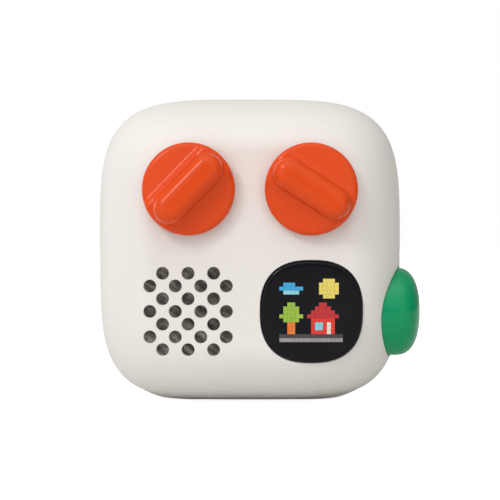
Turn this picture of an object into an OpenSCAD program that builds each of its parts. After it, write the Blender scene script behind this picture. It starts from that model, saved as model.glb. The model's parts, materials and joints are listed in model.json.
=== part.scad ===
// Small card-fed audio story player: a rounded square case with two turning and
// pressing knobs, a loudspeaker grille, a pixel display and a side power button.
// Millimetres. X is to the right, -Y is the front, +Z is up.
// The origin is under the middle of the case, on the surface it stands on.

/* [Case] */
// Width and height of the case
body_w = 70; // [68:1:74]
// Depth of the case from flat front to flat back
body_d = 38; // [37.5:0.5:40]
// Squareness of the case outline, as a superellipse exponent
body_n = 4.12; // [4:0.04:4.4]
// How far the front rounding reaches in over the face
front_round_x = 13; // [12:0.5:13.5]
// How deep the front rounding runs back along the sides
front_round_y = 18; // [17:0.5:18.5]
// Radius of the rounding at the back
rear_round = 9.5; // [8.5:0.5:10]
// Wall thickness
wall = 2.2; // [2:0.1:2.3]
// How far the foot pad stands out below the case
pad_proud = 0.15; // [0.1:0.05:0.3]
// Half width of the foot pad
pad_h = 24.4; // [22:0.2:25]
// Half width of the flat part of the foot pad's underside
pad_flat = 13; // [11:0.5:15]

/* [Knobs] */
// Distance of each knob from the middle, to the side and up
knob_off = 13.7; // [13.5:0.1:13.9]
// Radius of the knob disc
knob_r = 10.4; // [10:0.1:10.6]
// Thickness of the knob disc
knob_t = 3; // [2.6:0.1:3.2]
// Angle of the left grip above horizontal
grip_left = 46; // [0:1:180]
// Angle of the right grip above horizontal
grip_right = -33; // [-90:1:90]
// Height of the grip above the disc
grip_h = 4.3; // [3.5:0.1:4.5]
// Travel of a knob when it is pressed
knob_press = 0.5; // [0.3:0.05:0.5]

/* [Grille] */
// Hole radius
hole_r = 1.44; // [1.2:0.02:1.5]
// Half of the spacing of holes along a row
hole_px = 2.865; // [2.8:0.005:2.87]
// Spacing of the rows
hole_pz = 2.86; // [2.8:0.01:2.87]

/* [Display] */
// Half width of the display lens
lens_h = 11.45; // [11.2:0.05:11.5]
// Squareness of the lens outline
lens_n = 2.5; // [2.4:0.05:2.7]
// Spacing of the pixels
pixel_p = 0.9; // [0.85:0.01:0.92]

/* [Power button] */
// Radius of the button cap
button_r = 10.2; // [10:0.05:10.2]
// Gap around the cap
button_gap = 0.15; // [0.12:0.01:0.2]
// Height of the domed top of the cap
button_dome = 5.8; // [5:0.1:6]
// Travel of the button
button_press = 0.6; // [0.3:0.05:0.6]

/* [Card slot] */
// Width of the card slot
slot_w = 56; // [55:0.5:56]
// Thickness of the card slot
slot_t = 2.2; // [1.6:0.1:2.4]

/* [Hidden] */

cz = body_w / 2 + pad_proud;   // height of the case's middle
yf = -body_d / 2;              // flat front face
yr = body_d / 2;               // flat back face
yi = yf + wall;                // inside of the front wall
ys = -1;                       // where the front rounding starts
yt = yr - rear_round;          // where the rear rounding starts
seam = 12.5;                   // plane where the two shells meet
m_f = 1.9;                     // exponent of the front rounding
kz = cz + knob_off;            // knob height
gx = -13.87;                   // grille and loudspeaker axis
gz = cz - 13.74;
dx = 13.83;                    // display axis
dz = cz - 13.76;
by = -4;                       // power button axis
bz = cz - 14.24;
disc_y = yf - 0.7;             // back of the knob disc
jack_x = -8;                   // sockets at the back
usb_x = 8;
port_z = cz - 22;
slot_y = 8.7;                  // middle plane of the card slot
scr = 25;                      // shell screws, to the side and down

// outline points of a superellipse of half size h, in two dimensions
function se2(h, n, k) = [for (i = [0 : k - 1]) let (a = 360 * (i + 0.5) / k)
  [h * sign(cos(a)) * pow(abs(cos(a)), 2 / n),
   h * sign(sin(a)) * pow(abs(sin(a)), 2 / n)]];

// [y, half size] of the rings of the case, inset by w everywhere
function front_rings(w, k) = [for (i = [k : -1 : 0]) let (f = 90 * i / k)
  [ys - (front_round_y - w) * pow(sin(f), 2 / m_f),
   body_w / 2 - w - (front_round_x - w * 0.45) * (1 - pow(cos(f), 2 / m_f))]];
function rear_rings(w, k) = [for (i = [0 : k]) let (f = 90 * i / k)
  [yt + (rear_round - w) * sin(f),
   body_w / 2 - w - (rear_round - w * 0.45) * (1 - cos(f))]];

// inset of the case outline at a distance d behind the start of the rear rounding
function seam_in(d) = rear_round * (1 - sqrt(1 - pow(d / rear_round, 2)));

// depth of the outer surface at (x, z), and where a post inside it starts
function front_y(p) = let (s = pow(pow(abs(p[0]), body_n) + pow(abs(p[1] - cz), body_n), 1 / body_n),
  q = min(1, max(0, (body_w / 2 - s) / front_round_x)), c = pow(1 - q, m_f / 2))
  ys - front_round_y * pow(sqrt(max(0, 1 - c * c)), 2 / m_f);
function post_y(p) = max(yi - 0.4, front_y(p) + 1.5);

// closed solid through rings [y, half size] of superellipse outlines
module loft(rings, k) {
  q = len(rings);
  pts = [for (r = rings) for (p = se2(r[1], body_n, k)) [p[0], r[0], cz + p[1]]];
  polyhedron(points = pts, faces = concat(
    [[for (i = [k - 1 : -1 : 0]) i]],
    [[for (i = [0 : k - 1]) (q - 1) * k + i]],
    [for (j = [0 : q - 2]) for (i = [0 : k - 1]) let (n = (i + 1) % k)
      [j * k + i, j * k + n, (j + 1) * k + n]],
    [for (j = [0 : q - 2]) for (i = [0 : k - 1]) let (n = (i + 1) % k)
      [j * k + i, (j + 1) * k + n, (j + 1) * k + i]]));
}

// cylinders along Y and X, and flat outlines extruded along Y
module ycyl(x, z, y0, y1, r, f = 48) {
  translate([x, y0, z]) rotate([-90, 0, 0]) cylinder(h = y1 - y0, r = r, $fn = f);
}
module xcyl(x0, x1, y, z, r, f = 48) {
  translate([x0, y, z]) rotate([0, 90, 0]) cylinder(h = x1 - x0, r = r, $fn = f);
}
module yslab(y0, y1) {
  translate([0, y1, 0]) rotate([90, 0, 0]) linear_extrude(height = y1 - y0) children();
}
module box(a, b) { translate(a) cube(b - a); }
// turned profile [r, y] about an axis along Y at (x, z)
module yturn(x, z, f = 64) {
  translate([x, 0, z]) rotate([-90, 0, 0]) rotate_extrude($fn = f) children();
}
module lens_outline(h) { translate([dx, dz]) polygon(se2(h, lens_n, 48)); }

grille = [for (r = [-3 : 3]) let (n = (abs(r) % 2 == 1) ? 2 : 3)
  for (c = [-n : 2 : n]) [gx + c * hole_px, gz + r * hole_pz]];
led_posts = [for (a = [-1, 1], b = [-1, 1]) [dx + a * 9.4, dz + b * 9.4]];
knob_posts = [[0, kz + 5], [0, kz - 5], [-23, kz], [23, kz]];
speaker_posts = [for (a = [95, 350]) [gx + 14.5 * cos(a), gz + 14.5 * sin(a)]];
board_posts = [[-18.5, cz + 25], [18.5, cz + 25], [-18.5, cz - 12], [18.5, cz - 12]];

module front_shell() color([0.92, 0.90, 0.87]) {
  difference() {
    union() {
      difference() {
        loft(concat(front_rings(0, 10), [[yt, body_w / 2], [yt + 1.6, body_w / 2 - seam_in(1.6)],
          [seam, body_w / 2 - seam_in(seam - yt)]]), 72);
        loft(concat(front_rings(wall, 6), [[yt, body_w / 2 - wall],
          [seam + 1, body_w / 2 - wall - seam_in(seam - yt) - 0.1]]), 48);
      }
      // ledge that carries the lens
      yslab(yi - 0.2, yi + 1) lens_outline(12.4);
      for (p = led_posts) ycyl(p[0], p[1], post_y(p), -12.8, 1.7, 24);
      for (p = knob_posts) ycyl(p[0], p[1], post_y(p), -6, 2, 24);
      for (p = speaker_posts) ycyl(p[0], p[1], post_y(p), -14.4, 1.8, 24);
      // ledge around the foot pad
      intersection() {
        box([-pad_h - 1, by - 1.2, -2], [pad_h + 1, 10.2, 6]);
        loft(concat(front_rings(1.2, 4), [[seam, body_w / 2 - 1.2]]), 48);
      }
      // screw towers in the lower corners
      for (s = [-1, 1]) {
        ycyl(s * scr, cz - scr, 4, seam - 0.2, 3, 32);
        translate([s * scr, 4, cz - scr]) rotate([0, -45 * s, 0])
          translate([-0.8, 0, -5.2]) cube([1.6, seam - 4.2, 3.2]);
      }
    }
    for (s = [-1, 1]) ycyl(s * knob_off, kz, yf - 1, yi + 1, 3.7);
    for (h = grille) ycyl(h[0], h[1], yf - 1, yi + 1, hole_r, 32);
    ycyl(gx, gz, yi, -8, 12.6);
    yslab(yf - 1, yi) lens_outline(lens_h + 0.15);
    yslab(yi - 1, yi + 3) lens_outline(10.2);
    xcyl(26.4, 41, by, bz, button_r + button_gap, 96);
    box([-slot_w / 2, slot_y - slot_t / 2, cz + 14], [slot_w / 2, slot_y + slot_t / 2, cz + 40]);
    // seat of the slot's end piece, and seat of the foot pad
    slot_end(5, 2);
    pad(by, 9, 0, 4);
    for (s = [-1, 1]) ycyl(s * scr, cz - scr, 5, seam + 1, 0.9, 24);
    for (p = led_posts) ycyl(p[0], p[1], -16, -12, 0.8, 16);
    for (p = knob_posts) ycyl(p[0], p[1], -12, -5, 0.8, 16);
    for (p = speaker_posts) ycyl(p[0], p[1], -17.3, -14, 0.8, 16);
  }
}

module rear_shell() color([0.92, 0.90, 0.87]) difference() {
  union() {
    difference() {
      loft(concat([[seam, body_w / 2 - seam_in(seam - yt)]],
        [for (r = rear_rings(0, 9)) if (r[0] > seam + 0.3) r]), 72);
      loft(concat([[seam - 1, body_w / 2 - wall - 0.5]],
        [for (r = rear_rings(wall, 6)) if (r[0] > seam + 0.3) r]), 48);
    }
    // tongue that centres the rear shell in the front shell
    difference() {
      yslab(seam - 1.5, seam + 1.5) translate([0, cz]) difference() {
        polygon(se2(body_w / 2 - wall - 0.75, body_n, 72));
        polygon(se2(body_w / 2 - wall - 2, body_n, 72));
      }
      for (s = [-1, 1]) translate([s * scr - 5, seam - 3, cz - scr - 10]) cube([10, 3, 14]);
    }
    intersection() {
      for (s = [-1, 1]) ycyl(s * scr, cz - scr, seam, 17, 3.4, 32);
      loft(concat([[seam - 1, body_w / 2 - 1]], [for (r = rear_rings(0.8, 9)) if (r[0] > seam) r]), 48);
    }
    for (p = board_posts) ycyl(p[0], p[1], 13.1, 17.2, 2, 24);
  }
  for (s = [-1, 1]) {
    ycyl(s * scr, cz - scr, seam - 2, 20, 1.25, 24);
    ycyl(s * scr, cz - scr, 14.6, 20, 2.4, 32);
  }
  ycyl(jack_x, port_z, 16, 20, 3.05);
  yslab(16, 20) translate([usb_x, port_z]) {
    square([5.8, 3.8], center = true);
    for (s = [-1, 1]) translate([s * 2.9, 0]) circle(r = 1.9, $fn = 32);
  }
  for (p = board_posts) ycyl(p[0], p[1], 12, 16.6, 0.8, 16);
}

// foot pad: flat in the middle below, curving up to both sides; its upper side is flat
module pad(y0, y1, g, top) yslab(y0 - g, y1 + g) polygon(concat(
  [for (s = [-1, 1], i = [0 : 10]) let (t = (s < 0 ? 10 - i : i) / 10)
    [s * (pad_flat + (pad_h + g - pad_flat) * t), -g + 2 * (1 - sqrt(1 - t * t))]],
  [[pad_h + g, top], [-pad_h - g, top]]));
module base_pad() color([0.80, 0.78, 0.76]) pad(by, 9, 0, 2.4);

// end piece around the right end of the card slot, slightly raised
module slot_end(out, depth) intersection() {
  box([26, 5.6, cz + 20], [31.8, 10.9, cz + 40]);
  yslab(5, 12) translate([0, cz]) difference() {
    polygon(se2(body_w / 2 + out, body_n, 96));
    polygon(se2(body_w / 2 - depth, body_n, 96));
  }
}
module card_slot_lip() color([0.95, 0.89, 0.85]) difference() {
  slot_end(0.28, 2);
  box([20, slot_y - slot_t / 2, cz + 14], [slot_w / 2, slot_y + slot_t / 2, cz + 40]);
}

module card_guide() color([0.25, 0.25, 0.27]) difference() {
  intersection() {
    box([-28.8, 6.6, 27], [28.8, 10.8, cz + 31.6]);
    yslab(6, 11.5) translate([0, cz]) polygon(se2(body_w / 2 - wall - 0.5, body_n, 72));
  }
  box([-27.6, slot_y - 0.9, 28.2], [27.6, slot_y + 0.9, cz + 40]);
}

module nfc_antenna() color([0.72, 0.45, 0.20]) yslab(10.85, 11.15)
  translate([0, 44]) difference() {
    square([44, 28], center = true);
    square([36, 20], center = true);
  }

module main_board() color([0.10, 0.35, 0.22]) difference() {
  box([-21.5, 11.8, 7.5], [21.5, 13, cz + 28]);
  box([jack_x - 3.7, 11, port_z - 3.7], [jack_x + 3.7, 14, port_z + 3.7]);
  for (p = board_posts) ycyl(p[0], p[1], 11, 14, 1.1, 24);
}
module processor_shield() color([0.75, 0.76, 0.78]) difference() {
  box([-15, 13, 38], [3, 15, 54]);
  box([-14.7, 12, 38.3], [2.7, 14.7, 53.7]);
}
module wireless_module() color([0.70, 0.71, 0.73]) box([6, 13, 32], [16, 15.2, 50]);

module battery_cell() color([0.55, 0.60, 0.68]) union() {
  box([-22.4, 0.4, 20.4], [22.4, 5.2, 50.6]);
  box([-8, 1.2, 50.6], [8, 4.4, 52.6]);
}
module battery_tray() color([0.20, 0.20, 0.22]) difference() {
  box([-23.6, 0.4, 19.2], [23.6, 6.4, 53]);
  box([-22.4, -1, 20.4], [22.4, 5.2, 60]);
  box([-4, -1, 18], [4, 4.6, 21]);
}
module wire(a, r) {
  for (i = [0 : len(a) - 2]) let (d = a[i + 1] - a[i], l = norm(d))
    translate(a[i]) rotate([0, acos(d[2] / l), atan2(d[1], d[0])])
      cylinder(h = l, r = r, $fn = 16);
  for (i = [1 : len(a) - 2]) translate(a[i]) sphere(r = r, $fn = 16);
}
module battery_leads() color([0.75, 0.10, 0.10]) for (s = [-1, 1])
  wire([[s * 1.4, 3, 20.35], [s * 1.4, 3, 17.4], [s * 1.4, 11.75, 17.4]], 0.5);
module speaker_leads() color([0.12, 0.12, 0.12]) for (s = [-1, 1])
  wire([[-23.5, -11.2, gz + s * 0.8 + 0.5], [-27.4, -11.2, gz + s * 0.8 + 0.5],
        [-27.4, 12.4, gz + s * 0.8 + 0.5], [-21.55, 12.4, gz + s * 0.8 + 0.5]], 0.45);

module grille_cloth() color([0.32, 0.30, 0.29]) ycyl(gx, gz, yi + 0.1, yi + 0.4, 12.3);
module speaker_gasket() color([0.12, 0.12, 0.12]) yturn(gx, gz)
  polygon([[11.2, yi + 0.4], [12.3, yi + 0.4], [12.3, yi + 1.4], [11.2, yi + 1.4]]);
module speaker_frame() color([0.15, 0.15, 0.16]) yturn(gx, gz)
  polygon([[10.9, -15.4], [12.3, -15.4], [12.3, -14.4], [11.3, -14.4],
           [8.3, -9.4], [7.6, -9.4], [10.5, -14.2], [10.9, -14.8]]);
module speaker_surround() color([0.10, 0.10, 0.10]) yturn(gx, gz)
  polygon(concat([for (a = [0 : 15 : 180]) [9.7 + 1.15 * cos(a), -15.0 - 1.0 * sin(a)]],
                 [for (a = [180 : -15 : 0]) [9.7 + 0.85 * cos(a), -15.0 - 0.7 * sin(a)]]));
module speaker_spider() color([0.75, 0.55, 0.20]) yturn(gx, gz)
  polygon([[4.62, -10.55], [8.15, -10.55], [8.15, -10.35], [4.62, -10.35]]);
module speaker_cone() color([0.20, 0.20, 0.21]) yturn(gx, gz)
  polygon([[4.3, -11.3], [8.45, -14.75], [8.45, -15.0], [8.25, -15.0], [4.1, -11.55], [3.9, -11.3]]);
module speaker_dust_cap() color([0.25, 0.25, 0.26]) yturn(gx, gz)
  polygon(concat([for (a = [0 : 10 : 90]) [4.3 * cos(a), -11.85 - 1.6 * sin(a)]],
                 [for (a = [90 : -10 : 0]) [4.05 * cos(a), -11.85 - 1.35 * sin(a)]]));
module speaker_voice_coil() color([0.80, 0.45, 0.20]) yturn(gx, gz)
  polygon([[4.1, -11.3], [4.5, -11.3], [4.5, -7.4], [4.1, -7.4]]);
module speaker_top_plate() color([0.60, 0.61, 0.63]) yturn(gx, gz)
  polygon([[4.85, -9.4], [8.2, -9.4], [8.2, -8.4], [4.85, -8.4]]);
module speaker_magnet() color([0.30, 0.30, 0.32]) yturn(gx, gz)
  polygon([[5.6, -8.4], [8.2, -8.4], [8.2, -5.6], [5.6, -5.6]]);
module speaker_yoke() color([0.60, 0.61, 0.63]) union() {
  ycyl(gx, gz, -5.6, -4.6, 8.2);
  ycyl(gx, gz, -9.4, -5.6, 3.75);
}
// a pan-head screw along Y: shank from y0 forward, head on its other end
module screw(x, z, y0, y1, r, hr, ht) {
  ycyl(x, z, y0, y1, r, 20);
  difference() {
    ycyl(x, z, y1, y1 + ht, hr, 24);
    translate([x, y1 + ht, z]) for (a = [0, 90]) rotate([0, a, 0])
      cube([hr * 1.3, ht * 0.9, hr * 0.28], center = true);
  }
}
module speaker_screws() color([0.55, 0.55, 0.57])
  for (p = speaker_posts) screw(p[0], p[1], -17.2, -14.4, 0.8, 3, 0.8);
module display_screws() color([0.55, 0.55, 0.57])
  for (p = led_posts) screw(p[0], p[1], -15.9, -11.8, 0.8, 1.5, 0.8);
module knob_board_screws() color([0.55, 0.55, 0.57])
  for (p = knob_posts) screw(p[0], p[1], -11.9, -4.6, 0.8, 1.6, 0.9);
module main_board_screws() color([0.55, 0.55, 0.57])
  for (p = board_posts) translate([0, 24.8, 0]) mirror([0, 1, 0]) screw(p[0], p[1], 8.4, 13, 0.8, 1.6, 0.5);
module shell_screws() color([0.45, 0.45, 0.47])
  for (s = [-1, 1]) screw(s * scr, cz - scr, 5.2, 14.6, 0.9, 2.1, 1.4);

module display_lens() color([0.05, 0.05, 0.06]) union() {
  yslab(-18.6, -17.1) lens_outline(lens_h);
  hull() {
    yslab(-18.7, -18.6) lens_outline(lens_h);
    yslab(-19.1, -18.9) lens_outline(lens_h - 0.8);
  }
}
module display_gasket() color([0.06, 0.06, 0.06]) yslab(-17.1, yi) difference() {
  lens_outline(lens_h - 0.1);
  lens_outline(10.3);
}
module light_baffle() color([0.08, 0.08, 0.09]) yslab(-17, -14) translate([dx, dz])
  difference() {
    square(pixel_p * 16 + 1, center = true);
    for (i = [0 : 15], j = [0 : 15])
      translate([(i - 7.5) * pixel_p, (j - 7.5) * pixel_p]) square(pixel_p - 0.2, center = true);
  }
module led_matrix() color([0.90, 0.90, 0.85])
  box([dx - 7.6, -14, dz - 7.6], [dx + 7.6, -12.8, dz + 7.6]);
module led_board() color([0.10, 0.35, 0.22]) difference() {
  intersection() {
    box([dx - 11, -12.8, dz - 11], [dx + 11, -11.8, dz + 11]);
    yslab(-13, -11) translate([0, cz]) polygon(se2(body_w / 2 - 7.1, body_n, 72));
  }
  for (p = led_posts) ycyl(p[0], p[1], -13, -11, 0.9, 16);
}
module display_flex() color([0.80, 0.50, 0.15]) union() {
  box([10, -11.8, 8.2], [18, -11.5, 13.4]);
  box([10, -11.8, 8.2], [18, 11.8, 8.5]);
  box([10, 11.5, 8.2], [18, 11.8, 13.4]);
}

module knob_board() color([0.10, 0.35, 0.22]) difference() {
  box([-25.5, -6, kz - 7.5], [25.5, -4.6, kz + 7.5]);
  for (p = knob_posts) ycyl(p[0], p[1], -7, -4, 0.9, 16);
}
module knob_flex() color([0.80, 0.50, 0.15]) union() {
  box([6, -4.6, 32.8], [14, -4.3, kz - 3]);
  box([6, -11.8, 32.8], [14, -4.3, 33.1]);
  box([6, -11.8, 29.6], [14, -11.5, 33.1]);
}

module encoder_body(x) difference() {
  union() {
    box([x - 6, -12.4, kz - 6], [x + 6, -8.4, kz + 6]);
    ycyl(x, kz, -16.2, -12.4, 3.5);
  }
  ycyl(x, kz, -17, -8, 3.06);
  ycyl(x, kz, -11.4, -8, 5.2);
}
module left_encoder_body() color([0.62, 0.63, 0.65]) encoder_body(-knob_off);
module right_encoder_body() color([0.62, 0.63, 0.65]) encoder_body(knob_off);
module encoder_base(x) difference() {
  box([x - 6, -8.4, kz - 6], [x + 6, -6, kz + 6]);
  ycyl(x, kz, -9, -6.3, 2.8);
}
module left_encoder_base() color([0.10, 0.10, 0.10]) encoder_base(-knob_off);
module right_encoder_base() color([0.10, 0.10, 0.10]) encoder_base(knob_off);
module press_dome(x) yturn(x, kz)
  polygon([[0, -7.5], [1.2, -7.45], [2.6, -6.5], [2.6, -6.3], [2.3, -6.3], [1.1, -7.25], [0, -7.3]]);
module left_press_dome() color([0.70, 0.70, 0.72]) press_dome(-knob_off);
module right_press_dome() color([0.70, 0.70, 0.72]) press_dome(knob_off);
module d_profile(r, flat) intersection() {
  circle(r = r, $fn = 64);
  translate([-r - 1, -r - 1]) square([r + 1 + flat, 2 * r + 2]);
}
module rotor(x) difference() {
  ycyl(x, kz, -11.2, -9, 5.12, 64);
  translate([x, -12, kz]) rotate([-90, 0, 0]) linear_extrude(height = 4) d_profile(3.05, 1.95);
}
module left_encoder_rotor() color([0.85, 0.83, 0.75]) rotor(-knob_off);
module right_encoder_rotor() color([0.85, 0.83, 0.75]) rotor(knob_off);
module shaft(x) union() {
  translate([x, -24.3, kz]) rotate([-90, 0, 0]) linear_extrude(height = 7.1) d_profile(3, 1.9);
  ycyl(x, kz, -17.2, -12, 3, 64);
  translate([x, -12, kz]) rotate([-90, 0, 0]) linear_extrude(height = 2.9) d_profile(3, 1.9);
  ycyl(x, kz, -9.1, -7.6, 1.2, 24);
}
module left_shaft() color([0.75, 0.76, 0.78]) shaft(-knob_off);
module right_shaft() color([0.75, 0.76, 0.78]) shaft(knob_off);

// knob: rounded disc, a low ramp to each side of the grip, and the long grip
module knob(x, a) translate([x, 0, kz]) difference() {
  union() {
    rotate([-90, 0, 0]) rotate_extrude($fn = 96) polygon(concat(
      [[0, disc_y], [knob_r - 0.3, disc_y], [knob_r, disc_y - 0.3]],
      [for (f = [0 : 15 : 90]) [knob_r - 1.2 + 1.2 * cos(f), disc_y - knob_t + 1.2 - 1.2 * sin(f)]],
      [[0, disc_y - knob_t]]));
    rotate([0, -a, 0]) intersection() {
      rotate([90, 0, 90]) translate([0, 0, -knob_r]) linear_extrude(height = 2 * knob_r)
        polygon([[disc_y - knob_t + 0.2, -5.4], [disc_y - knob_t + 0.2, 5.4],
                 [disc_y - knob_t - 0.7, 3.9], [disc_y - knob_t - 0.7, -3.9]]);
      ycyl(0, 0, disc_y - knob_t - 2, disc_y, knob_r - 0.25, 96);
    }
    rotate([0, -a, 0]) hull() {
      for (s = [-1, 1]) {
        ycyl(s * 6, 0, disc_y - knob_t, disc_y - knob_t + 0.7, 3.77, 32);
        ycyl(s * 6, 0, disc_y - knob_t - grip_h + 1.2, disc_y - knob_t, 3.1, 32);
        ycyl(s * 6, 0, disc_y - knob_t - grip_h, disc_y - knob_t, 2, 32);
      }
    }
    ycyl(0, 0, disc_y - 0.1, -17, 3.3, 48);
  }
  rotate([-90, 0, 0]) translate([0, 0, -24.5]) linear_extrude(height = 8) d_profile(3.02, 1.92);
}
module left_knob() color([0.88, 0.29, 0.10]) knob(-knob_off, grip_left);
module right_knob() color([0.88, 0.29, 0.10]) knob(knob_off, grip_right);

// domed cap, hollow, with a boss for the plunger; turned about the X axis
dome_x = 33.5;
module power_button() color([0.0, 0.55, 0.33]) translate([0, by, bz]) rotate([0, 90, 0])
  rotate_extrude($fn = 96) polygon(concat(
    [[2.5, 26], [3.8, 26], [3.8, dome_x + button_dome - 2.2]],
    [for (f = [80 : -10 : 0]) [(button_r - 1.6) * pow(cos(f), 2 / 2.55),
      dome_x - 0.6 + (button_dome - 1.4) * pow(sin(f), 2 / 2.55)]],
    [[button_r - 1.6, 27.8], [button_r, 27.8]],
    [for (f = [0 : 6 : 90]) [button_r * pow(cos(f), 2 / 2.55),
      dome_x + button_dome * pow(sin(f), 2 / 2.55)]],
    [[0, 35.6], [2.5, 35.6]]));
module power_plunger() color([0.85, 0.85, 0.83]) union() {
  xcyl(21.4, 35.6, by, bz, 2.48);
  xcyl(20.5, 21.4, by, bz, 1.9, 32);
  xcyl(17.9, 20.5, by, bz, 2.48);
}
module plunger_clip() color([0.65, 0.66, 0.68]) difference() {
  xcyl(20.55, 21.35, by, bz, 3.8);
  xcyl(20, 22, by, bz, 1.92, 32);
  box([20, by - 1.5, bz], [22, by + 1.5, bz + 6]);
}
module button_bracket() color([0.20, 0.20, 0.22]) difference() {
  union() {
    box([21.5, -11.4, bz - 7], [23, -0.4, bz + 7]);
    box([11, -11.4, bz - 7], [23, -10.4, bz + 7]);
    box([11, -11.4, bz - 7], [12.4, -0.4, bz + 7]);
  }
  xcyl(21, 24, by, bz, 2.55);
}
module power_switch() color([0.15, 0.15, 0.15]) difference() {
  box([14, by - 3, bz - 3], [16.9, by + 3, bz + 3]);
  xcyl(15.4, 17.5, by, bz, 1.85, 32);
}
module power_switch_actuator() color([0.55, 0.30, 0.20]) xcyl(16.1, 17.9, by, bz, 1.75, 32);
module power_switch_board() color([0.10, 0.35, 0.22])
  box([12.4, -10.2, bz - 6.5], [14, -0.6, bz + 6.5]);

module stadium(w, h) {
  square([w - h, h], center = true);
  for (s = [-1, 1]) translate([s * (w - h) / 2, 0]) circle(r = h / 2, $fn = 32);
}
module usb_socket() color([0.72, 0.73, 0.75]) union() {
  yslab(13, 18.4) translate([usb_x, port_z]) difference() {
    stadium(8.94, 3.26);
    stadium(8.34, 2.66);
  }
  yslab(13, 13.8) translate([usb_x, port_z]) stadium(8.94, 3.26);
  yslab(13, 17.6) translate([usb_x, port_z]) square([6.69, 0.7], center = true);
}
module headphone_socket() color([0.12, 0.12, 0.13]) difference() {
  union() {
    box([jack_x - 3.5, 4.2, port_z - 3.5], [jack_x + 3.5, 16.6, port_z + 3.5]);
    ycyl(jack_x, port_z, 16.6, 18.6, 2.9);
  }
  ycyl(jack_x, port_z, 4.8, 19, 1.8);
}

front_shell();
rear_shell();
base_pad();
card_slot_lip();
card_guide();
nfc_antenna();
main_board();
processor_shield();
wireless_module();
battery_cell();
battery_tray();
battery_leads();
grille_cloth();
speaker_gasket();
speaker_frame();
speaker_surround();
speaker_spider();
speaker_cone();
speaker_dust_cap();
speaker_voice_coil();
speaker_top_plate();
speaker_magnet();
speaker_yoke();
speaker_screws();
speaker_leads();
display_lens();
display_gasket();
light_baffle();
led_matrix();
led_board();
display_screws();
display_flex();
knob_board();
knob_board_screws();
knob_flex();
left_encoder_body();
right_encoder_body();
left_encoder_base();
right_encoder_base();
left_press_dome();
right_press_dome();
left_encoder_rotor();
right_encoder_rotor();
left_shaft();
right_shaft();
left_knob();
right_knob();
power_button();
power_plunger();
plunger_clip();
button_bracket();
power_switch();
power_switch_actuator();
power_switch_board();
usb_socket();
headphone_socket();
shell_screws();
main_board_screws();
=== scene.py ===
"""Small card-fed audio story player, seen on a white table.

Lengths in the code are millimetres in the frame of the part: X right, -Y front, Z up.
They become metres when a mesh is made.
"""

import json
import math

import bmesh
import bpy
import numpy as np
from mathutils import Matrix, Vector


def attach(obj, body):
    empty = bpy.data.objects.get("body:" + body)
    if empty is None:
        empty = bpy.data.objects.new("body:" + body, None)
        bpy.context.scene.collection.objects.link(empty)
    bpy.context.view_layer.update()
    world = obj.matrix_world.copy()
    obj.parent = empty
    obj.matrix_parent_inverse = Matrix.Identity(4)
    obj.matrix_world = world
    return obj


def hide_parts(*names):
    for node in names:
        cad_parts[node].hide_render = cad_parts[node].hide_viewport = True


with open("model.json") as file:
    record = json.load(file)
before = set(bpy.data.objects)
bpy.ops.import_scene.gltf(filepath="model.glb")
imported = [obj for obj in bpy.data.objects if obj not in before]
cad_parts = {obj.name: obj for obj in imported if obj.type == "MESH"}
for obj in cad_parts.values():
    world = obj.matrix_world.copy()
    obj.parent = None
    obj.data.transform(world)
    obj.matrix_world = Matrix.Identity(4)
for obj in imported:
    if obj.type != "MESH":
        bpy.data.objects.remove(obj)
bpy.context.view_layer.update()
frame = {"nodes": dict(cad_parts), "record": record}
nodes = frame["nodes"]

# ---------------------------------------------------------------- numbers of the part
N, M = 4.12, 1.9  # exponents of the case outline and of its front rounding
CZ = 35.15
YF, YR, YI, YS, YT, SEAM = -19.0, 19.0, -16.8, -1.0, 9.5, 12.5
KZ, KX = CZ + 13.7, 13.7
GX, GZ = -13.87, CZ - 13.74
DX, DZ = 13.83, CZ - 13.76
BY, BZ, BR = -4.0, CZ - 14.24, 10.2
JX, UX, PZ = -8.0, 8.0, CZ - 22
DISC_Y = YF - 0.7


# ---------------------------------------------------------------- small helpers
def srgb(r, g, b):
    """Linear colour of an 8-bit sRGB colour."""
    c = np.array([r, g, b], float) / 255
    c = np.where(c <= 0.04045, c / 12.92, ((c + 0.055) / 1.055) ** 2.4)
    return float(c[0]), float(c[1]), float(c[2])


def half_at(y):
    """Half size of the case outline at depth y."""
    y = np.asarray(y, float)
    u = np.clip((YS - y) / 18.0, 0, 1)
    front = 22 + 13 * (1 - u**M) ** (1 / M)
    t = np.clip((y - YT) / 9.5, 0, 1)
    rear = 35 - 9.5 * (1 - np.sqrt(1 - t * t))
    return np.where(y < YS, front, rear)


def norm_at(x, z):
    return (np.abs(x) ** N + np.abs(z) ** N) ** (1 / N)


def front_y(x, z):
    """Depth of the front surface over (x, z)."""
    s = norm_at(x, z - CZ)
    v = np.clip(1 - (35 - s) / 13, 0, 1)
    return YS - 18 * (1 - v**M) ** (1 / M)


def rear_y(x, z):
    s = np.clip(norm_at(x, z - CZ) - 25.5, 0, 9.5)
    return YT + np.sqrt(9.5**2 - s * s)


def side_x(y, z):
    h = half_at(y)
    return np.maximum(h**N - np.abs(z - CZ) ** N, 0) ** (1 / N)


def top_z(x, y, extra=0.0):
    h = half_at(y) + extra
    return CZ + np.maximum(h**N - np.abs(x) ** N, 0) ** (1 / N)


def ring_of(y, h, count=512, n=N):
    """Points of a superellipse outline of half size h at depth y."""
    a = np.linspace(0, 2 * np.pi, count, endpoint=False) + np.pi / count
    r = (np.abs(np.cos(a)) ** n + np.abs(np.sin(a)) ** n) ** (-1 / n) * h
    return np.stack([r * np.cos(a), np.full(count, float(y)), CZ + r * np.sin(a)], 1)


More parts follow.
